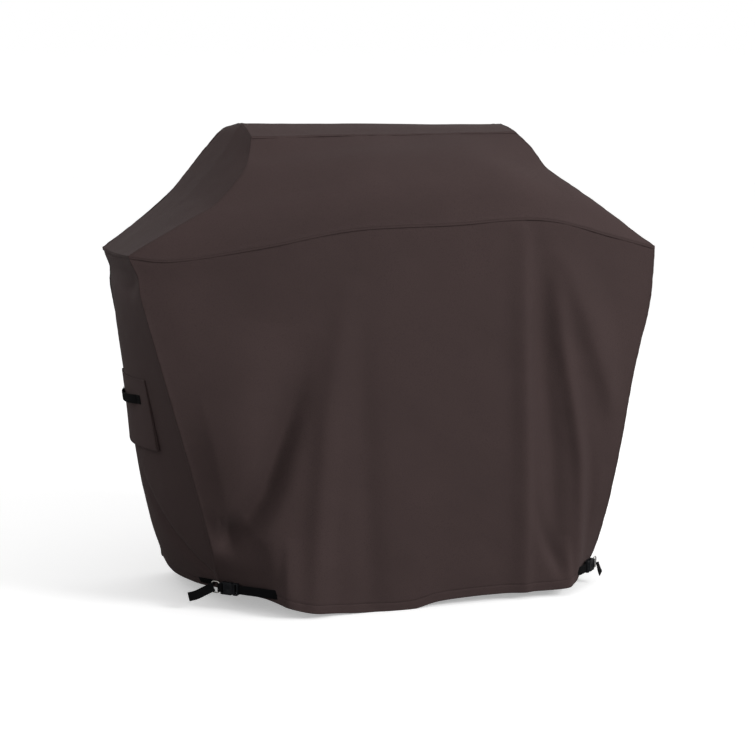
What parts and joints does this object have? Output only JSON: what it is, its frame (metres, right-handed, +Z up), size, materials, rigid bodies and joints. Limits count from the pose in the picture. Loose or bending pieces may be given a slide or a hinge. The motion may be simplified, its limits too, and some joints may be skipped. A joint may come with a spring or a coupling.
{
  "type": "grill cover",
  "caption": "Fabric cover draped over a barbecue grill, with a hooded top, hemmed skirts, side vents with lifting handles and buckled cinch straps at the front corners.",
  "frame": {"origin": "on the floor, under the middle of the cover's bounding box", "axes": "+X along the cover's length towards its right end, -Y to the front, +Z up"},
  "size_m": [1.4725, 0.639, 1.314],
  "materials": {
    "cover_cloth": "matt dark brown coated polyester weave",
    "black_webbing": "black ribbed webbing",
    "vent_mesh": "black open mesh",
    "buckle_plastic": "satin black moulded plastic",
    "nickel_wire": "nickel-plated wire"
  },
  "bodies": {
    "cover": {"top_panel": "cover_cloth", "front_hood_panel": "cover_cloth", "rear_hood_panel": "cover_cloth", "left_end_panel": "cover_cloth", "right_end_panel": "cover_cloth", "front_skirt": "cover_cloth", "rear_skirt": "cover_cloth", "left_skirt": "cover_cloth", "right_skirt": "cover_cloth", "front_hem": "cover_cloth", "rear_hem": "cover_cloth", "left_hem": "cover_cloth", "right_hem": "cover_cloth", "left_vent_flap": "cover_cloth", "right_vent_flap": "cover_cloth", "left_vent_mesh": "vent_mesh", "right_vent_mesh": "vent_mesh", "left_handle_front_tab": "black_webbing", "left_handle_rear_tab": "black_webbing", "right_handle_front_tab": "black_webbing", "right_handle_rear_tab": "black_webbing", "left_strap_anchor": "black_webbing", "right_strap_anchor": "black_webbing", "left_strap_ring": "nickel_wire", "right_strap_ring": "nickel_wire", "left_strap_link": "black_webbing", "right_strap_link": "black_webbing", "left_buckle_socket": "buckle_plastic", "right_buckle_socket": "buckle_plastic"},
    "left_handle": {"left_handle": "black_webbing"},
    "right_handle": {"right_handle": "black_webbing"},
    "left_plug": {"left_buckle_plug": "buckle_plastic", "left_front_strap": "black_webbing"},
    "right_plug": {"right_buckle_plug": "buckle_plastic", "right_front_strap": "black_webbing"},
    "left_upper_prong": {"left_buckle_upper_prong": "buckle_plastic"},
    "left_lower_prong": {"left_buckle_lower_prong": "buckle_plastic"},
    "right_upper_prong": {"right_buckle_upper_prong": "buckle_plastic"},
    "right_lower_prong": {"right_buckle_lower_prong": "buckle_plastic"},
    "left_tail": {"left_strap_tail": "black_webbing"},
    "right_tail": {"right_strap_tail": "black_webbing"}
  },
  "joints": [
    {"name": "left_handle_lift", "type": "hinge", "parent": "cover", "child": "left_handle", "pos_m": [-0.6998, 0, 0.5889], "axis": [-0.0704, 0.9975, -0.0086], "range_deg": [0, 60]},
    {"name": "right_handle_lift", "type": "hinge", "parent": "cover", "child": "right_handle", "pos_m": [0.7152, 0, 0.5892], "axis": [-0.0043, -0.9999, 0.0116], "range_deg": [0, 60]},
    {"name": "left_buckle_release", "type": "slide", "parent": "cover", "child": "left_plug", "axis": [0.7278, -0.6858, 0], "range_m": [0, 0.03]},
    {"name": "right_buckle_release", "type": "slide", "parent": "cover", "child": "right_plug", "axis": [-0.6794, -0.7337, 0], "range_m": [0, 0.03]},
    {"name": "left_upper_prong_squeeze", "type": "hinge", "parent": "left_plug", "child": "left_upper_prong", "pos_m": [-0.45897, -0.18672, 0.0715], "axis": [-0.6858, -0.7278, 0], "range_deg": [0, 5], "stiffness_Nm_per_rad": 1.5},
    {"name": "left_lower_prong_squeeze", "type": "hinge", "parent": "left_plug", "child": "left_lower_prong", "pos_m": [-0.45897, -0.18672, 0.0525], "axis": [0.6858, 0.7278, 0], "range_deg": [0, 5], "stiffness_Nm_per_rad": 1.5},
    {"name": "right_upper_prong_squeeze", "type": "hinge", "parent": "right_plug", "child": "right_upper_prong", "pos_m": [0.56663, -0.23236, 0.0715], "axis": [-0.7337, 0.6794, 0], "range_deg": [0, 5], "stiffness_Nm_per_rad": 1.5},
    {"name": "right_lower_prong_squeeze", "type": "hinge", "parent": "right_plug", "child": "right_lower_prong", "pos_m": [0.56663, -0.23236, 0.0525], "axis": [0.7337, -0.6794, 0], "range_deg": [0, 5], "stiffness_Nm_per_rad": 1.5},
    {"name": "left_tail_swing", "type": "hinge", "parent": "cover", "child": "left_tail", "pos_m": [-0.499, -0.149, 0.062], "axis": [0, 0, 1], "range_deg": [-15, 15]},
    {"name": "right_tail_swing", "type": "hinge", "parent": "cover", "child": "right_tail", "pos_m": [0.604, -0.192, 0.062], "axis": [0, 0, 1], "range_deg": [-8, 8]}
  ],
  "couplings": [
    {"joint": "left_lower_prong_squeeze", "follows": "left_upper_prong_squeeze", "ratio": 1},
    {"joint": "right_lower_prong_squeeze", "follows": "right_upper_prong_squeeze", "ratio": 1}
  ]
}
